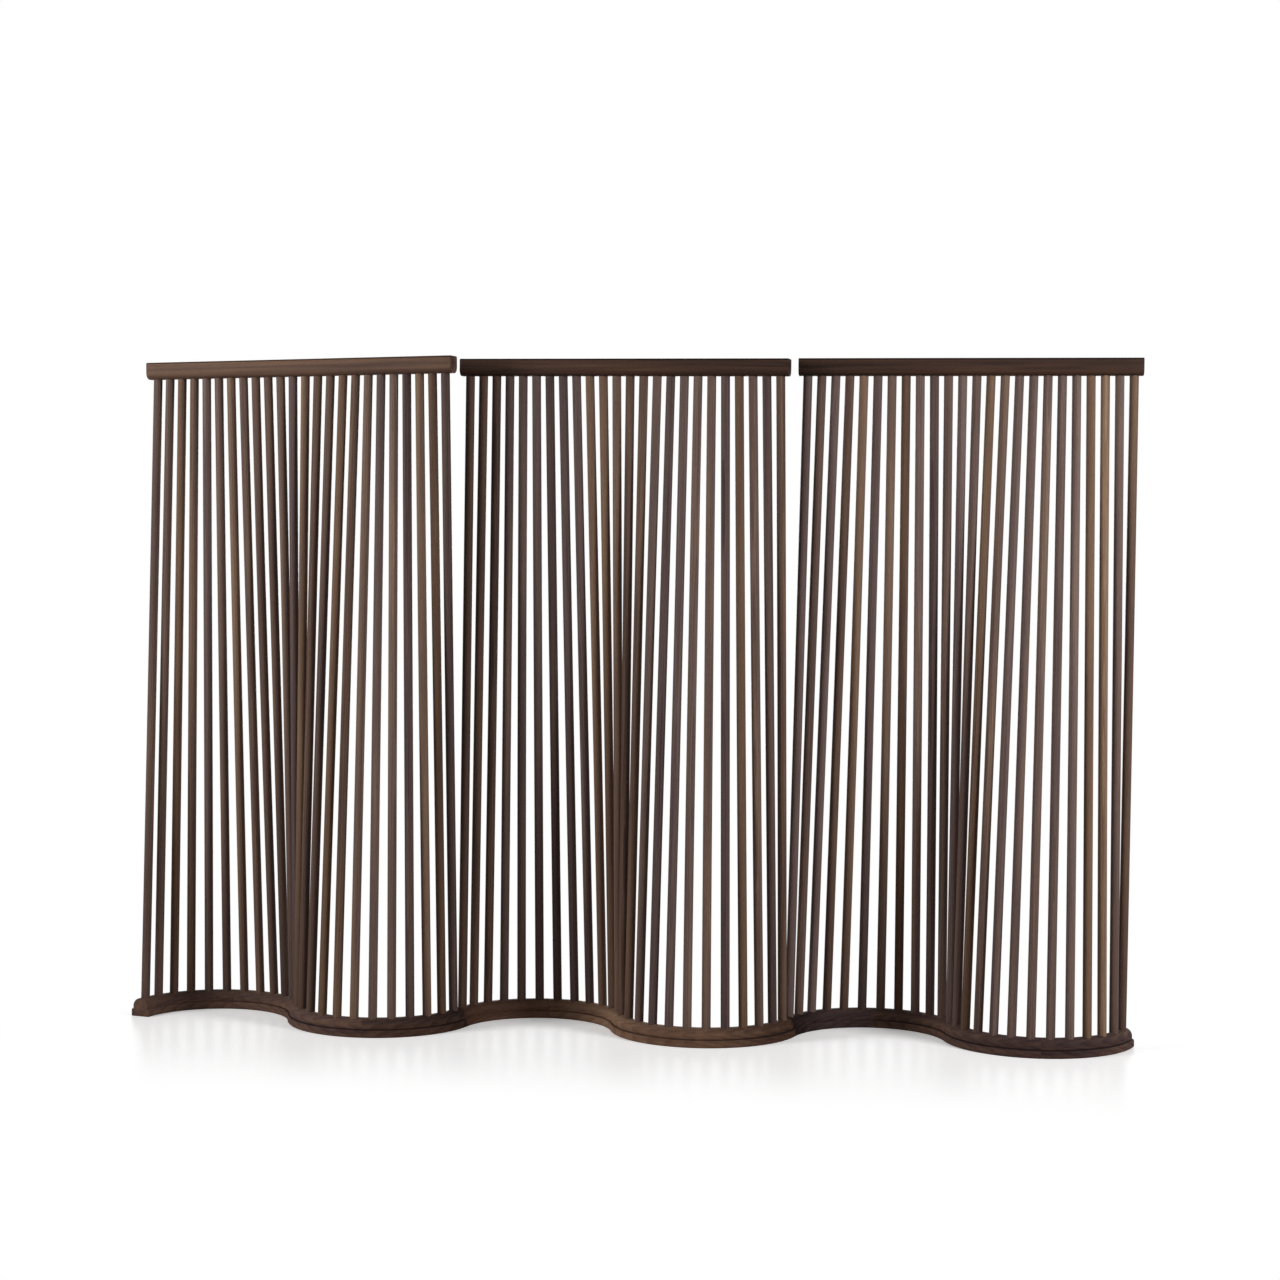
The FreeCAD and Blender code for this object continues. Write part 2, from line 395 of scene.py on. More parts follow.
class WalnutStain(ShaderGroup):
    """Dark stain on that wood: colour, gloss and the small relief of the surface."""

    VIOLET_BROWNS: tuple[Colour, ...] = (
        (0.011, 0.0072, 0.0074, 1.0),
        (0.048, 0.0318, 0.0312, 1.0),
        (0.106, 0.074, 0.068, 1.0),
        (0.200, 0.147, 0.126, 1.0),
    )
    HONEY_BROWNS: tuple[Colour, ...] = (
        (0.014, 0.0075, 0.0051, 1.0),
        (0.060, 0.0333, 0.0214, 1.0),
        (0.134, 0.082, 0.053, 1.0),
        (0.250, 0.169, 0.107, 1.0),
    )
    KNOT: Colour = (0.016, 0.010, 0.008, 1.0)
    KNOT_DEPTH = 0.85
    PORE: Colour = (0.30, 0.26, 0.24, 1.0)
    PORE_DEPTH = 0.55
    PORE_ROUGHNESS = 0.15
    FIGURE_MIDDLE = 0.42
    FIGURE_GLOSS = 0.12
    DRIFT_DEPTH = 0.55

    def __init__(self) -> None:
        """Build the group."""
        names = ("Tone", "Warmth", "Contrast", "Figure", "Drift", "Pores", "Knots", "Gloss")
        super().__init__("walnut_stain", dict.fromkeys(names, "Float"),
                         {"Color": "Color", "Roughness": "Float", "Height": "Float"})
        draw, given = self.sketch, self.given
        figure = draw.calc("SUBTRACT", given["Figure"], self.FIGURE_MIDDLE)
        drift = draw.calc("SUBTRACT", given["Drift"], WoodFigure.NOISE_MIDDLE)
        tone = draw.calc("ADD", given["Tone"], draw.calc("MULTIPLY", figure, given["Contrast"]))
        tone = draw.calc("ADD", tone, draw.calc("MULTIPLY", drift, self.DRIFT_DEPTH))
        warmth = draw.ease(draw.calc("ADD", given["Warmth"], drift), 0.0, 1.0)
        violet, honey = draw.ramp(tone, self.VIOLET_BROWNS), draw.ramp(tone, self.HONEY_BROWNS)
        colour = draw.blend("MIX", warmth, violet, honey)
        in_pores = draw.calc("MULTIPLY", given["Pores"], self.PORE_DEPTH)
        colour = draw.blend("MULTIPLY", in_pores, colour, self.PORE)
        in_knots = draw.calc("MULTIPLY", given["Knots"], self.KNOT_DEPTH)
        colour = draw.blend("MIX", in_knots, colour, self.KNOT)
        rough = draw.calc("ADD", given["Gloss"], draw.calc("MULTIPLY", given["Pores"], self.PORE_ROUGHNESS))
        polish = draw.calc("SUBTRACT", given["Figure"], WoodFigure.NOISE_MIDDLE)
        rough = draw.calc("SUBTRACT", rough, draw.calc("MULTIPLY", polish, self.FIGURE_GLOSS))
        height = draw.calc("SUBTRACT", given["Figure"], given["Pores"])
        self.put_out({"Color": colour, "Roughness": rough, "Height": height})


@dataclass(frozen=True)
class WoodFinish:
    """One stained wood of the screen, as a record slot and the values of its figure."""

    slot: str
    ring_spacing: float
    contrast: float
    roughness: float
    specular: float
    mottle: float = 0.0
    knotty: bool = True
    tint: Colour = WHITE
    # Painted shade: a thin dark band at this height for the inner corner over a base's flange, with its
    # half width and how far it lowers the tone
    corner_shade_height: float = 0.0
    corner_shade_width: float = 0.0022
    corner_shade_tone: float = 0.40
    relief: float = 0.25
    relief_depth: float = 0.0003
    plain_tone: float = 0.9
    plain_warmth: float = 0.8
    source: GrainSource = GrainSource.STAMPED

    def material(self, figure: WoodFigure, stain: WalnutStain) -> bpy.types.Material:
        """Build the material.

        Args:
            figure: Shared group that draws the wood.
            stain: Shared group that colours it.

        Returns:
            The material, named after the record slot.
        """
        made = bpy.data.materials.new(self.slot)
        made.use_nodes = True
        draw = NodeSketch(made.node_tree)
        if self.source is GrainSource.STAMPED:
            grain = draw.add("ShaderNodeAttribute", attribute_name=self.source.value).outputs["Vector"]
            tone, warmth = draw.attribute("tone"), draw.attribute("warmth")
        else:
            grain = draw.add("ShaderNodeTexCoord").outputs["Object"]
            tone, warmth = self.plain_tone, self.plain_warmth
        # Painted shade: the tone drops in a thin band at the corner height, where the dome steps down to
        # the flange, as far as the stamped corner value allows
        if self.corner_shade_height:
            away = draw.calc("ABSOLUTE", draw.calc("SUBTRACT", draw.place()["Z"], self.corner_shade_height))
            in_corner_shade = draw.ease(away, self.corner_shade_width, self.corner_shade_width / 3.0)
            in_corner_shade = draw.calc("MULTIPLY", in_corner_shade, draw.attribute("corner"))
            tone = draw.calc("SUBTRACT", tone, draw.calc("MULTIPLY", in_corner_shade, self.corner_shade_tone))
        wood = figure.place(draw, {
            "Grain": grain, "Ring Spacing": self.ring_spacing, "Mottle": self.mottle})
        look = {name: wood[name] for name in ("Figure", "Drift", "Pores")}
        look["Knots"] = wood["Knots"] if self.knotty else 0.0
        look.update({"Tone": tone, "Warmth": warmth, "Contrast": self.contrast, "Gloss": self.roughness})
        stained = stain.place(draw, look)
        colour = draw.blend("MULTIPLY", 1.0, stained["Color"], self.tint)
        bump = draw.add("ShaderNodeBump", {
            "Height": stained["Height"], "Strength": self.relief, "Distance": self.relief_depth})
        skin = draw.add("ShaderNodeBsdfPrincipled", {
            "Base Color": colour, "Roughness": stained["Roughness"], "Normal": bump.outputs[0],
            "Specular IOR Level": self.specular})
        draw.add("ShaderNodeOutputMaterial", {"Surface": skin.outputs[0]})
        return made


@dataclass(frozen=True)
class WavePlan:
    """Plan of one S-shaped base: two equal arcs, the left one bowed away from the front."""

    radius: float
    half_sweep: float

    @classmethod
    def from_frame(cls, half_flange: float) -> "WavePlan":
        """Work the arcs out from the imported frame.

        Args:
            half_flange: Half the width of the base at the floor.

        Returns:
            The plan, about the middle of a module.
        """
        chord = module_pitch() / 2.0
        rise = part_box(Side.CENTRE.node("base_segment_1"))[1].y - half_flange
        radius = (chord * chord / 4.0 + rise * rise) / (2.0 * rise)
        return cls(radius, math.asin(chord / 2.0 / radius))

    @property
    def arc_length(self) -> float:
        """Length of one arc along its centre line."""
        return 2.0 * self.radius * self.half_sweep

    def centre(self, side: int) -> Vector:
        """Centre of the left (-1) or right (+1) arc."""
        half_chord = self.radius * math.sin(self.half_sweep)
        return Vector((side * half_chord, side * self.radius * math.cos(self.half_sweep), 0.0))

    def angle(self, travel: float, side: int) -> float:
        """Direction from an arc's centre to a point of the S.

        Args:
            travel: Distance of the point along the S from its middle.
            side: The left (-1) or right (+1) arc.

        Returns:
            The direction in radians, from +X.
        """
        if side < 0:
            return math.pi / 2.0 - self.half_sweep - travel / self.radius
        return 1.5 * math.pi - self.half_sweep + travel / self.radius

    def point(self, travel: float) -> Vector:
        """Point of the centre line.

        Args:
            travel: Distance along the S from its middle.

        Returns:
            The point, on the floor.
        """
        side = -1 if travel < 0.0 else 1
        angle = self.angle(travel, side)
        return self.centre(side) + self.radius * Vector((math.cos(angle), math.sin(angle), 0.0))


def module_middle(side: Side) -> float:
    """Place of a module's middle along the row."""
    first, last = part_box(side.node("base_segment_1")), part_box(side.node("base_segment_4"))
    return (first[0].x + last[1].x) / 2.0


def module_pitch() -> float:
    """Distance between the middles of two neighbouring modules."""
    return module_middle(Side.RIGHT) - module_middle(Side.CENTRE)


@dataclass(frozen=True)
class ToneRun:
    """How pale or how brown the wood is from the left end of a module to the right one."""

    tones: tuple[float, ...]

    def along(self, share: float | np.ndarray) -> np.ndarray:
        """Tone at a share of the way from left to right."""
        return np.interp(share, np.linspace(0.0, 1.0, len(self.tones)), self.tones)


@dataclass(frozen=True)
class ModuleToneAndShade:
    """How pale and how brown the rods, the rail and the base of one module are drawn: partly the wood's own
    tone and partly painted shade.
    """

    rods: ToneRun
    rod_warmth: ToneRun
    rail: ToneRun
    base: ToneRun
    base_warmth: float


@dataclass(frozen=True)
class RailStance:
    """How a module's rail stands over its base: metres along the row and degrees."""

    shift: float = 0.0
    turn: float = 0.0
    tilt: float = 0.0

    def matrix(self, side: Side) -> Matrix:
        """Move that takes a rail from the origin to its place in a module.

        Args:
            side: The module.

        Returns:
            The move: a tilt and a turn about the rail's own middle, then the way to its place.
        """
        low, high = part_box(Side.RIGHT.node("top_rail"))
        tilted = Matrix.Rotation(-math.radians(self.tilt), 4, "Y")
        turned = Matrix.Rotation(math.radians(self.turn), 4, "Z") @ tilted
        place = (module_middle(side) + self.shift, 0.0, (low.z + high.z) / 2.0)
        return Matrix.Translation(place) @ turned


def rail_size() -> Vector:
    """Length, width and height of a rail, from the right module's, which stands square."""
    low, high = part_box(Side.RIGHT.node("top_rail"))
    return high - low


@dataclass
class TopRail:
    """Straight rail with eased top edges and a well rounded underside."""

    side: Side
    stance: RailStance
    tones: ToneRun
    warmth: float = 0.72
    top_round: float = 0.005
    top_steps: int = 5
    under_round: float = 0.018
    under_steps: int = 10
    end_round: float = 0.002
    end_steps: int = 3
    crease: float = 35.0
    # How much darker the rounded top edges are drawn: painted shade along the top of the rail
    top_edge_shade: float = 0.40
    lengths: int = 24
    pith: Triple = (0.11, 0.03, 0.0)

    def build(self) -> bpy.types.Object:
        """Shape the rail in its place.

        Returns:
            The rail.
        """
        node = self.side.node("top_rail")
        size = rail_size()
        bar = Workpiece(f"{node}_wood", bpy.ops.mesh.primitive_cube_add, size=1.0, scale=size)

        def is_long(edge: bmesh.types.BMEdge) -> bool:
            """True for an edge that runs along the rail."""
            return abs(edge.verts[0].co.x - edge.verts[1].co.x) > size.x / 2.0

        def is_long_at(edge: bmesh.types.BMEdge, height: float) -> bool:
            """True for an edge that runs along the rail at the given height."""
            return is_long(edge) and all(abs(vert.co.z - height) < TOUCH for vert in edge.verts)

        bar.pick(Kind.EDGES, lambda edge: is_long_at(edge, size.z / 2.0))
        bar.round(self.top_round, self.top_steps)
        bar.pick(Kind.EDGES, lambda edge: is_long_at(edge, -size.z / 2.0))
        bar.round(self.under_round, self.under_steps)
        bar.pick(Kind.FACES, lambda face: abs(face.normal.x) > 0.9)
        bpy.ops.mesh.region_to_loop()
        bar.round(self.end_round, self.end_steps)
        bar.pick(Kind.EDGES, is_long)
        bpy.ops.mesh.subdivide(number_cuts=self.lengths - 1)
        rail = bar.finish(self.crease)
        square = points_of(rail)
        below_top = size.z / 2.0 - square[:, 2]
        # Painted shade: the rounded top edges are drawn darker, a dark line along the top of the rail
        in_top_edge_shade = (below_top > TOUCH) & (below_top < 0.9 * self.top_round)
        tone = self.tones.along(square[:, 0] / size.x + 0.5) - self.top_edge_shade * in_top_edge_shade
        stamp(rail, square[:, [1, 2, 0]] + np.array(self.pith), tone, self.warmth)
        rail.data.transform(self.stance.matrix(self.side))
        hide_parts(node)
        return rail


@dataclass
class BaseSegment:
    """One glued-up piece of an S-shaped base: a half-round top over a flange that steps out."""

    side: Side
    index: int
    plan: WavePlan
    tones: ToneRun
    warmth: float
    segments: int = 4
    dome_width: float = 0.044
    dome_steps: int = 14
    flange_height: float = 0.021
    half_flange: float = 0.0275
    flange_round: float = 0.004
    flange_steps: int = 4
    foot_bevel: float = 0.002
    end_ease: float = 0.0006
    end_steps: int = 2
    end_gap: float = 0.0002
    turn_steps: int = 36
    crease: float = 32.0
    pith: Triple = (0.05, 0.03, 0.0)
    run_out: float = 0.08
    # Painted shade in the corner over the flange grows from nothing to full over this share of the S
    corner_shade_from: Span = (0.12, 0.36)

    def span(self) -> tuple[float, float, int]:
        """Where the segment lies.

        Returns:
            Its start and end along the S, and which arc it is on.
        """
        length = 2.0 * self.plan.arc_length / self.segments
        start = -self.plan.arc_length + self.index * length
        end = start + length
        if self.index == 0:
            start += self.end_gap
        if self.index == self.segments - 1:
            end -= self.end_gap
        return start, end, -1 if self.index < self.segments // 2 else 1

    def section(self, name: str, height: float) -> Workpiece:
        """Draw the section of the base upright at the arc's radius, facing along the arc.

        Args:
            name: Name of the new object.
            height: Height of the base.

        Returns:
            The section, open for editing.
        """
        radius, half = self.plan.radius, self.dome_width / 2.0
        middle = (radius, 0.0, self.flange_height / 2.0)
        sheet = Workpiece(name, bpy.ops.mesh.primitive_plane_add, size=1.0, location=middle,
                          rotation=(math.pi / 2.0, 0.0, 0.0))
        size = (2.0 * self.half_flange, 1.0, self.flange_height)
        bpy.ops.transform.resize(value=size, center_override=middle)
        for across in (radius - half, radius + half):
            bpy.ops.mesh.select_all(action="SELECT")
            bpy.ops.mesh.bisect(plane_co=(across, 0.0, 0.0), plane_no=(1.0, 0.0, 0.0))

        def under_dome(edge: bmesh.types.BMEdge) -> bool:
            """True for the middle edge on top of the flange."""
            spot = (edge.verts[0].co + edge.verts[1].co) / 2.0
            return abs(spot.x - radius) < TOUCH and abs(spot.z - self.flange_height) < TOUCH

        def outermost(vert: bmesh.types.BMVert) -> bool:
            """True for a corner of the flange."""
            return abs(abs(vert.co.x - radius) - self.half_flange) < TOUCH

        sheet.pick(Kind.EDGES, under_dome)
        rise = (0.0, 0.0, height - self.flange_height)
        bpy.ops.mesh.extrude_region_move(TRANSFORM_OT_translate={"value": rise})
        sheet.pick(Kind.VERTS, lambda vert: vert.co.z > height - TOUCH)
        sheet.round(half, self.dome_steps, corners=True)
        sheet.pick(Kind.VERTS, lambda vert: outermost(vert) and vert.co.z > TOUCH)
        sheet.round(self.flange_round, self.flange_steps, corners=True)
        sheet.pick(Kind.VERTS, lambda vert: outermost(vert) and vert.co.z < TOUCH)
        sheet.round(self.foot_bevel, 1, corners=True)
        bpy.ops.mesh.select_all(action="SELECT")
        bpy.ops.mesh.remove_doubles(threshold=WELD)
        return sheet

    def build(self) -> bpy.types.Object:
        """Turn the section about the arc's centre, ease its ends and put it in place.

        Returns:
            The segment.
        """
        node = self.side.node(f"base_segment_{self.index + 1}")
        start, end, side = self.span()
        first = self.plan.angle(start, side)
        turn = self.plan.angle(end, side) - first
        blank = self.section(f"{node}_wood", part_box(node)[1].z)
        bpy.ops.mesh.select_all(action="SELECT")
        bpy.ops.mesh.spin(steps=self.turn_steps, angle=-turn, center=(0.0, 0.0, 0.0),
                          axis=(0.0, 0.0, 1.0))

        def on_an_end(face: bmesh.types.BMFace) -> bool:
            """True for a face that lies across the arc."""
            angles = [math.atan2(vert.co.y, vert.co.x) for vert in face.verts]
            return max(angles) - min(angles) < abs(turn) / self.turn_steps / 2.0

        bpy.ops.mesh.select_all(action="SELECT")
        bpy.ops.mesh.remove_doubles(threshold=WELD)
        blank.pick(Kind.FACES, on_an_end)
        bpy.ops.mesh.region_to_loop()
        blank.round(self.end_ease, self.end_steps)
        segment = blank.finish(self.crease)
        centre = self.plan.centre(side) + Vector((module_middle(self.side), 0.0, 0.0))
        segment.data.transform(Matrix.Translation(centre) @ Matrix.Rotation(first, 4, "Z"))
        self.mark(segment, np.array(centre), first + turn / 2.0)
        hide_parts(node)
        return segment

    def mark(self, segment: bpy.types.Object, centre: np.ndarray, middle: float) -> None:
        """Write the segment's wood on it: the grain along its arc, the tones along the whole S and the
        painted shade in the corner over the flange.

        Args:
            segment: The segment, in place.
            centre: Centre of its arc.
            middle: Direction from there to the segment's middle, in radians.
        """
        start, end, side = self.span()
        place = points_of(segment) - centre
        bearing = np.arctan2(place[:, 1], place[:, 0]) - middle
        travel = self.plan.radius * ((bearing + math.pi) % math.tau - math.pi)
        across = np.hypot(place[:, 0], place[:, 1]) - self.plan.radius + self.run_out * travel
        spot = (start + end) / 2.0 + side * travel
        share = 0.5 + spot / self.plan.arc_length / 2.0
        # The ends are left out. The corner value is how much painted shade the finish puts in the corner
        # over the flange
        on_side = (spot > start + WELD) & (spot < end - WELD)
        corner = on_side * np.interp(share, self.corner_shade_from, (0.0, 1.0))
        grain = np.stack((across, place[:, 2], travel), axis=1)
        stamp(segment, grain + np.array(self.pith), self.tones.along(share), self.warmth, corner)


@dataclass
class RodStock:
    """The turned rod that every rod is copied from, upright on the origin."""

    length: float
    radius: float = 0.012
    sides: int = 32
    rings: int = 23
    chamfer: float = 0.0012
    chamfer_steps: int = 2
    crease: float = 30.0

    def build(self) -> bpy.types.Object:
        """Turn the rod.

        Returns:
            The stock, which is deleted once the rods are cut.
        """
        stick = Workpiece("rod_stock", bpy.ops.mesh.primitive_cylinder_add, vertices=self.sides,
                          radius=self.radius, depth=self.length, location=(0.0, 0.0, self.length / 2.0))

        def rise(edge: bmesh.types.BMEdge) -> float:
            """How far an edge goes up."""
            return abs(edge.verts[0].co.z - edge.verts[1].co.z)

        stick.pick(Kind.EDGES, lambda edge: rise(edge) < TOUCH)
        stick.round(self.chamfer, self.chamfer_steps)
        stick.pick(Kind.EDGES, lambda edge: rise(edge) > self.length / 2.0)
        bpy.ops.mesh.subdivide(number_cuts=self.rings)
        return stick.finish(self.crease)


@dataclass
class Rod:
    """One rod: a copy of the stock, leaned between its two seats and slightly bowed."""

    side: Side
    number: int
    low: Vector
    high: Vector
    bow: Vector
    tone: float
    warmth: float
    turn: float
    pith: Triple
    rods_per_node: int = 2

    def build(self, stock: bpy.types.Object, stock_length: float) -> bpy.types.Object:
        """Cut the rod from the stock and stand it in its sockets.

        Args:
            stock: The turned rod.
            stock_length: Its length.

        Returns:
            The rod.
        """
        rod = stock.copy()
        rod.data = stock.data.copy()
        rod.name = self.side.node(f"rod_{self.number:02d}")
        rod.data.name = rod.name
        bpy.context.scene.collection.objects.link(rod)
        upright = points_of(rod)
        way = self.high - self.low
        share = upright[:, 2] / stock_length
        spun = np.array(Matrix.Rotation(self.turn, 3, "Z"))
        cut = upright * np.array((1.0, 1.0, way.length / stock_length))
        grain = cut @ spun.T + np.array(self.pith)
        lean = np.array(Vector((0.0, 0.0, 1.0)).rotation_difference(way).to_matrix())
        placed = (upright * np.array((1.0, 1.0, 0.0))) @ lean.T
        placed += np.array(self.low) + np.outer(share, np.array(way))
        # The bow is nothing at the ends and whole in the middle
        placed += np.outer(4.0 * share * (1.0 - share), np.array(self.bow))
        rod.data.vertices.foreach_set("co", placed.ravel())
        rod.data.update()
        stamp(rod, grain, self.tone, self.warmth)
        first = self.number - (self.number - 1) % self.rods_per_node
        last = first + self.rods_per_node - 1
        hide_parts(self.side.node(f"rods_{first:02d}_{last:02d}"))
        return rod


@dataclass
class Module:
    """One free-standing module: its rail, its S-shaped base and its rods."""

    side: Side
    stance: RailStance
    stain: ModuleToneAndShade
    finishes: Mapping[str, bpy.types.Material]
    seed: int
    rods_per_module: int = 24
    rail_margin: float = 0.0242
    rail_socket: float = 0.025
    base_socket: float = 0.029
    largest_bow: float = 0.002
    rail_pith: tuple[Span, Span, Span] = ((0.10, 0.14), (-0.03, 0.03), (0.0, 9.0))
    base_pith: tuple[Span, Span, Span] = ((0.10, 0.16), (-0.05, 0.05), (0.0, 9.0))
    rod_pith: tuple[Span, Span, Span] = ((0.008, 0.03), (-0.02, 0.02), (0.0, 50.0))
    base_warmth_spread: Span = (-0.15, 0.15)
    rod_tone_spread: Span = (-0.14, 0.14)
    rod_warmth_spread: Span = (-0.5, 0.5)
    pieces: list[bpy.types.Object] = field(default_factory=list)

    def rod_seats(self, plan: WavePlan, index: int) -> tuple[Vector, Vector]:
        """Where a rod ends in the base and in the rail.

        Args:
            plan: Plan of the base.
            index: Number of the rod from the left, from 0.

        Returns:
            The bottoms of its two sockets.
        """
        rail = rail_size()
        crest_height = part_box(self.side.node("base_segment_1"))[1].z
        step = index - (self.rods_per_module - 1) / 2.0
        base_pitch = 2.0 * plan.arc_length / self.rods_per_module
        rail_pitch = (rail.x - 2.0 * self.rail_margin) / (self.rods_per_module - 1)
        crest = plan.point(step * base_pitch) + Vector((module_middle(self.side), 0.0, crest_height))
        under = self.stance.matrix(self.side) @ Vector((step * rail_pitch, 0.0, -rail.z / 2.0))
        way = (under - crest).normalized()
        return crest - way * self.base_socket, under + way * self.rail_socket

    def build(self, plan: WavePlan) -> None:
        """Make every piece of the module.

        Args:
            plan: Plan of the base.
        """
        draw = random.Random(self.seed)
        pith = tuple(draw.uniform(*span) for span in self.rail_pith)
        self.add(TopRail(self.side, self.stance, self.stain.rail, pith=pith).build(), "rail_wood")
        for index in range(BaseSegment.segments):
            pith = tuple(draw.uniform(*span) for span in self.base_pith)
            warmth = self.stain.base_warmth + draw.uniform(*self.base_warmth_spread)
            segment = BaseSegment(self.side, index, plan, self.stain.base, warmth, pith=pith)
            self.add(segment.build(), "base_wood")
        seats = [self.rod_seats(plan, index) for index in range(self.rods_per_module)]
        length = max((high - low).length for low, high in seats)
        stock = RodStock(length).build()
        for index, (low, high) in enumerate(seats):
            share = index / (self.rods_per_module - 1)
            tone = float(self.stain.rods.along(share)) + draw.uniform(*self.rod_tone_spread)
            bearing, size = draw.uniform(0.0, math.tau), self.largest_bow * draw.random() ** 2
            bow = Vector((math.cos(bearing), math.sin(bearing), 0.0)) * size
            pith = tuple(draw.uniform(*span) for span in self.rod_pith)
            warmth = float(self.stain.rod_warmth.along(share)) + draw.uniform(*self.rod_warmth_spread)
            turn = draw.uniform(0.0, math.tau)
            rod = Rod(self.side, index + 1, low, high, bow, tone, warmth, turn, pith)
            self.add(rod.build(stock, length), "rod_wood")
        bpy.data.objects.remove(stock)
        LOG.info("%s module: %d pieces", self.side.value, len(self.pieces))

    def add(self, piece: bpy.types.Object, slot: str) -> None:
        """Take a finished piece into the module.

        Args:
            piece: The piece, in place.
            slot: Record slot of its wood.
        """
        piece.data.materials.clear()
        piece.data.materials.append(self.finishes[slot])
        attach(piece, self.side.body)
        self.pieces.append(piece)
        LOG.info("made %s", piece.name)

    def dress(self) -> None:
        """Give the hidden tenons their plain wood."""
        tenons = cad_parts[self.side.node("seam_tenons")]
        tenons.data.materials.clear()
        tenons.data.materials.append(self.finishes["tenon_wood"])


@dataclass(frozen=True)
class Softbox:
    """A flat lamp aimed at a point: metres, watts and degrees."""

    name: str
    place: Triple
    aim: Triple
    size: Span
    watts: float
    spread: float = 180.0
    spares_floor: bool = False

    def build(self, floor: bpy.types.Object) -> None:
        """Hang the lamp.

        Args:
            floor: The floor, which a lamp behind the screen leaves unlit.
        """
        lamp = bpy.data.lights.new(self.name, "AREA")
        lamp.shape = "RECTANGLE"
        lamp.size, lamp.size_y = self.size
        lamp.energy = self.watts
        lamp.spread = math.radians(self.spread)
        holder = bpy.data.objects.new(self.name, lamp)
        holder.visible_camera = False
        holder.location = self.place
        ahead = Vector(self.aim) - Vector(self.place)
        holder.rotation_euler = ahead.to_track_quat("-Z", "Y").to_euler()
        bpy.context.scene.collection.objects.link(holder)
        if self.spares_floor:
            spared = bpy.data.collections.new(f"{self.name}_spares")
            spared.objects.link(floor)
            spared.collection_objects[0].light_linking.link_state = "EXCLUDE"
            holder.light_linking.receiver_collection = spared


@dataclass(frozen=True)
class PhotoCamera:
    """Camera that stands where the photograph was taken from."""

    stand: Triple = (0.8650, -6.7503, 1.3628)
    turn_left: float = 6.912
    tilt_down: float = 2.609
    roll: float = 0.344
    focal_px: float = 2550.6
    frame_px: float = 1280.0
    sensor: float = 36.0

    def build(self) -> None:
        """Set the camera up and make it the scene's."""
        turn, tilt = math.radians(self.turn_left), math.radians(self.tilt_down)
        roll = math.radians(self.roll)
        level = Vector((math.cos(turn), math.sin(turn), 0.0))
        ahead = Vector((-math.sin(turn), math.cos(turn), 0.0)) * math.cos(tilt)
        ahead.z = -math.sin(tilt)
        upright = level.cross(ahead)
        right = level * math.cos(roll) + upright * math.sin(roll)
        up = upright * math.cos(roll) - level * math.sin(roll)
        lens = bpy.data.cameras.new("photo_camera")
        lens.sensor_width = self.sensor
        lens.lens = self.focal_px * self.sensor / self.frame_px
        camera = bpy.data.objects.new("photo_camera", lens)
        turned = Matrix((right, up, -ahead)).transposed().to_4x4()
        camera.matrix_world = Matrix.Translation(self.stand) @ turned
        bpy.context.scene.collection.objects.link(camera)
        bpy.context.scene.camera = camera


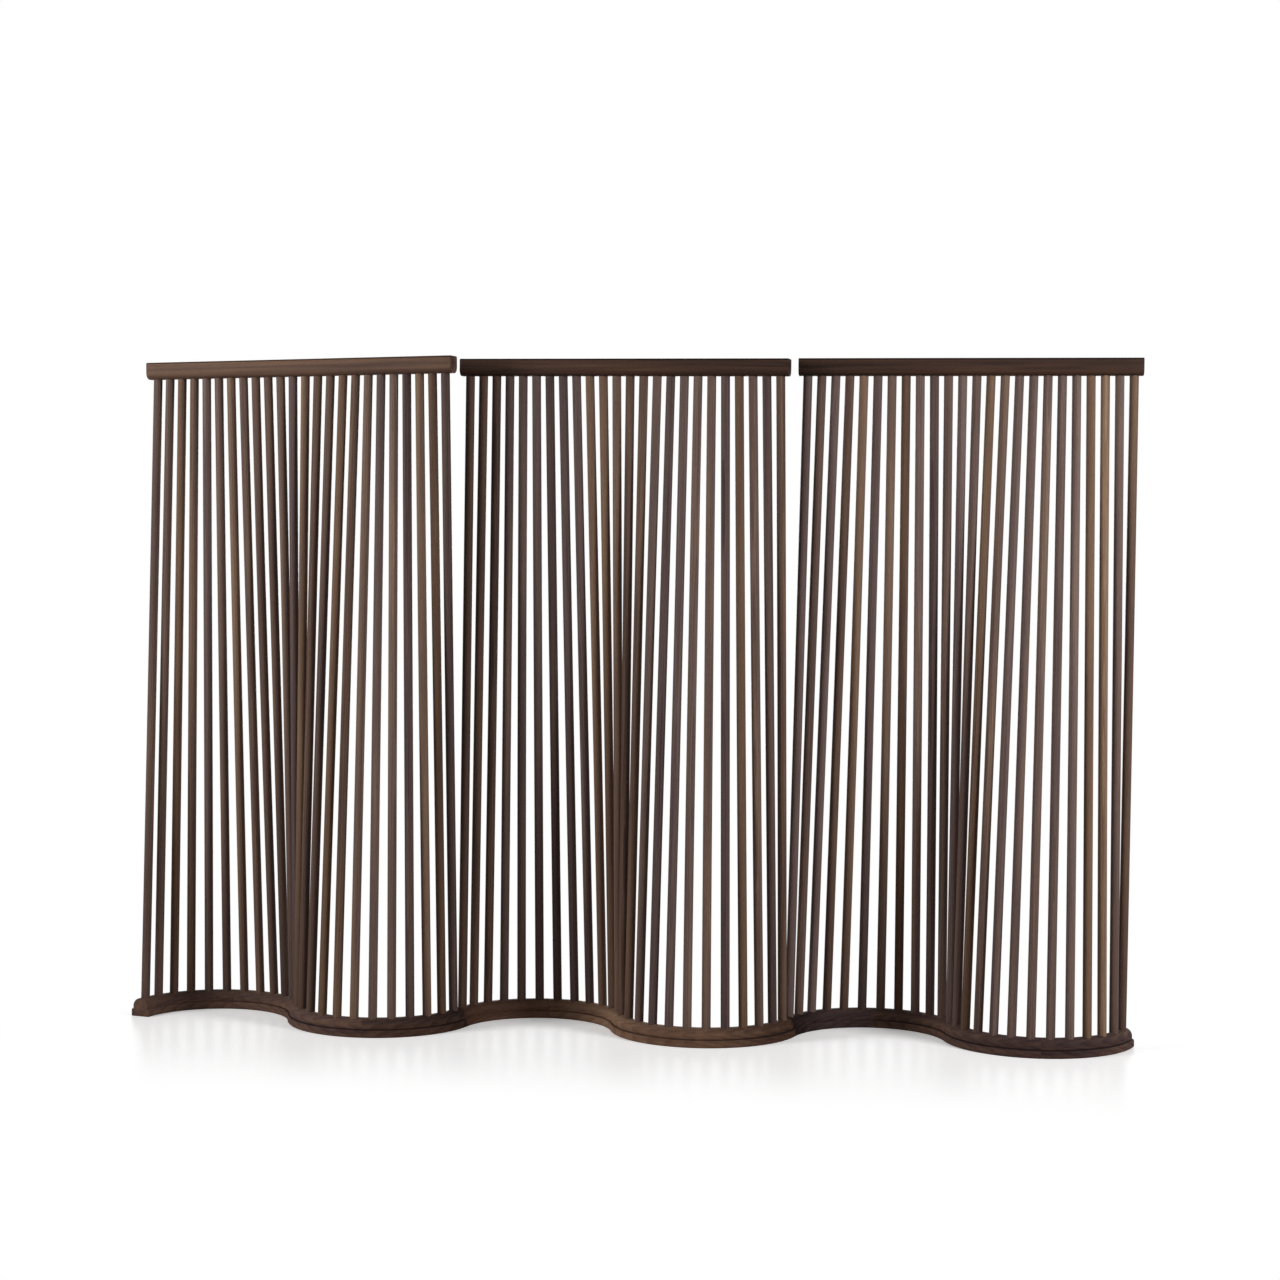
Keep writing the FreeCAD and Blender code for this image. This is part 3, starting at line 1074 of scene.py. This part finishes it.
@dataclass
class Studio:
    """Pale floor, white surroundings and four soft lamps."""

    plan: WavePlan
    floor_size: float = 60.0
    floor_white: Colour = WHITE
    floor_bounce: Colour = (0.40, 0.28, 0.22, 1.0)
    floor_roughness: float = 0.30
    lift: float = 0.24
    front_fade: Span = (0.28, 0.86)
    back_fade: Span = (0.06, 0.20)
    side_fade: Span = (0.03, 0.25)
    surroundings: float = 0.20
    lamps: tuple[Softbox, ...] = (
        Softbox("left_softbox", (-3.5, -1.9, 2.3), (-0.6, 0.0, 1.7), (1.2, 1.8), 48.0, spread=105.0),
        Softbox("right_softbox", (3.7, -2.1, 2.3), (1.3, 0.0, 1.3), (1.2, 1.8), 36.5, spread=80.0),
        Softbox("front_softbox", (0.9, -6.0, 2.4), (0.0, 0.0, 1.1), (2.0, 1.5), 30.0),
        Softbox("back_softbox", (-0.6, 4.8, 1.2), (0.0, 0.0, 1.0), (1.6, 1.6), 150.0,
                spares_floor=True),
    )

    def shown(self, draw: NodeSketch) -> bpy.types.NodeSocket:
        """A mask of the rays that show the surroundings: from the camera, a gloss or a clear material.

        Args:
            draw: The tree to draw in.

        Returns:
            1 on those rays and 0 on the light itself.
        """
        path = draw.add("ShaderNodeLightPath").outputs
        glossy = draw.calc("MAXIMUM", path["Is Glossy Ray"], path["Is Transmission Ray"])
        return draw.calc("MAXIMUM", path["Is Camera Ray"], glossy)

    def build_world(self) -> None:
        """White surroundings that give only a little light of their own."""
        world = bpy.data.worlds.new("white_room")
        world.use_nodes = True
        bpy.context.scene.world = world
        draw = NodeSketch(world.node_tree)
        dim = draw.add("ShaderNodeBackground", {"Color": WHITE, "Strength": self.surroundings})
        white = draw.add("ShaderNodeBackground", {"Color": WHITE, "Strength": 1.0})
        both = draw.add("ShaderNodeMixShader", {
            0: self.shown(draw), 1: dim.outputs[0], 2: white.outputs[0]})
        draw.add("ShaderNodeOutputWorld", {"Surface": both.outputs[0]})

    def clear_floor(self, draw: NodeSketch) -> bpy.types.NodeSocket:
        """A mask of the floor that is plain white: behind the S, past the row's ends and well in front.

        Args:
            draw: The tree to draw in.

        Returns:
            1 where the floor is plain, 0 at the foot of the screen.
        """
        place = draw.place()
        chord = module_pitch() / 2.0
        sunk = self.plan.radius * math.cos(self.plan.half_sweep)
        arc = draw.calc("FLOOR", draw.calc("DIVIDE", place["X"], chord))
        bows_back = draw.calc("FLOORED_MODULO", arc, 2.0)
        hand = draw.calc("SUBTRACT", draw.calc("MULTIPLY", bows_back, 2.0), 1.0)
        middle = draw.calc("MULTIPLY", draw.calc("ADD", arc, 0.5), chord)
        across = draw.calc("SUBTRACT", place["X"], middle)
        reach = draw.calc("SUBTRACT", self.plan.radius ** 2, draw.calc("MULTIPLY", across, across))
        rise = draw.calc("SUBTRACT", draw.calc("SQRT", reach), sunk)
        behind = draw.calc("SUBTRACT", place["Y"], draw.calc("MULTIPLY", hand, rise))
        beside = draw.calc("SUBTRACT", draw.calc("ABSOLUTE", place["X"]), CAD_BOX[1].x)
        ahead = draw.calc("MULTIPLY", place["Y"], -1.0)
        clear = draw.calc("MAXIMUM", draw.ease(behind, *self.back_fade),
                          draw.ease(beside, *self.side_fade))
        return draw.calc("MAXIMUM", clear, draw.ease(ahead, *self.front_fade))

    def build_floor(self) -> bpy.types.Object:
        """Satin white floor that keeps the shadow and runs out into the white.

        Returns:
            The floor.
        """
        bpy.ops.object.select_all(action="DESELECT")
        bpy.ops.mesh.primitive_plane_add(size=self.floor_size)
        floor = bpy.context.active_object
        floor.name = "floor"
        made = bpy.data.materials.new("satin_white_floor")
        made.use_nodes = True
        draw = NodeSketch(made.node_tree)
        camera_ray = draw.add("ShaderNodeLightPath").outputs["Is Camera Ray"]
        shade = draw.blend("MIX", camera_ray, self.floor_bounce, self.floor_white)
        skin = draw.add("ShaderNodeBsdfPrincipled", {
            "Base Color": shade, "Roughness": self.floor_roughness})
        lift = draw.add("ShaderNodeEmission", {"Strength": draw.calc("MULTIPLY", camera_ray, self.lift)})
        lifted = draw.add("ShaderNodeAddShader", {0: skin.outputs[0], 1: lift.outputs[0]})
        fade = draw.calc("MULTIPLY", self.clear_floor(draw), self.shown(draw))
        plain = draw.add("ShaderNodeEmission", {"Strength": 1.0})
        both = draw.add("ShaderNodeMixShader", {0: fade, 1: lifted.outputs[0], 2: plain.outputs[0]})
        draw.add("ShaderNodeOutputMaterial", {"Surface": both.outputs[0]})
        floor.data.materials.append(made)
        return floor

    def build(self) -> None:
        """Set up the floor, the surroundings and the lamps."""
        bpy.context.scene.view_settings.view_transform = "Standard"
        self.build_world()
        floor = self.build_floor()
        for lamp in self.lamps:
            lamp.build(floor)


FINISHES = (
    WoodFinish("rod_wood", ring_spacing=0.0030, contrast=0.36, roughness=0.58, specular=0.06),
    WoodFinish("rail_wood", ring_spacing=0.0035, contrast=0.12, roughness=0.60, specular=0.06,
               knotty=False, tint=(1.0, 0.98, 0.99, 1.0)),
    WoodFinish("base_wood", ring_spacing=0.0040, contrast=0.25, roughness=0.62, specular=0.06,
               mottle=1.0, tint=(1.0, 0.94, 0.95, 1.0), corner_shade_height=BaseSegment.flange_height),
    WoodFinish("tenon_wood", ring_spacing=0.0030, contrast=0.20, roughness=0.80, specular=0.20,
               source=GrainSource.OBJECT),
)
STANCES = {
    Side.LEFT: RailStance(shift=0.004, turn=-10.3, tilt=0.55),
    Side.CENTRE: RailStance(shift=-0.0015, turn=-5.8, tilt=-0.4),
    Side.RIGHT: RailStance(shift=0.023),
}
# Tones along each module: besides the wood's own tone they carry painted shade, such as the darker left
# ends of the centre and right modules' rods, rails and bases
TONE_AND_SHADE = {
    Side.LEFT: ModuleToneAndShade(
        rods=ToneRun((0.63, 0.60, 0.60, 0.58, 0.53)), rod_warmth=ToneRun((0.45, 0.42, 0.50)),
        rail=ToneRun((0.52, 0.52, 0.50)),
        base=ToneRun((0.52, 0.46, 0.60, 0.34, 0.02)), base_warmth=0.50),
    Side.CENTRE: ModuleToneAndShade(
        rods=ToneRun((0.39, 0.42, 0.57, 0.60, 0.53)), rod_warmth=ToneRun((0.20, 0.35, 0.48)),
        rail=ToneRun((0.13, 0.24, 0.24, 0.19, 0.15)),
        base=ToneRun((0.18, 0.58, 0.80, 0.50, 0.20)), base_warmth=1.00),
    Side.RIGHT: ModuleToneAndShade(
        rods=ToneRun((0.52, 0.49, 0.55, 0.63, 0.56)), rod_warmth=ToneRun((0.12, 0.38, 0.50)),
        rail=ToneRun((0.08, 0.20, 0.19)),
        base=ToneRun((-0.10, 0.40, 0.48, 0.22, 0.30)), base_warmth=0.35),
}


def main() -> None:
    """Build the camera, the room and the three modules, in that order."""
    logging.basicConfig(level=logging.INFO, format="%(name)s: %(message)s")
    plan = WavePlan.from_frame(BaseSegment.half_flange)
    PhotoCamera().build()
    Studio(plan).build()
    figure, stain = WoodFigure(), WalnutStain()
    finishes = {finish.slot: finish.material(figure, stain) for finish in FINISHES}
    for seed, (side, taken) in enumerate(TONE_AND_SHADE.items(), start=1):
        module = Module(side, STANCES[side], taken, finishes, seed)
        module.build(plan)
        module.dress()


if __name__ == "__main__":
    main()
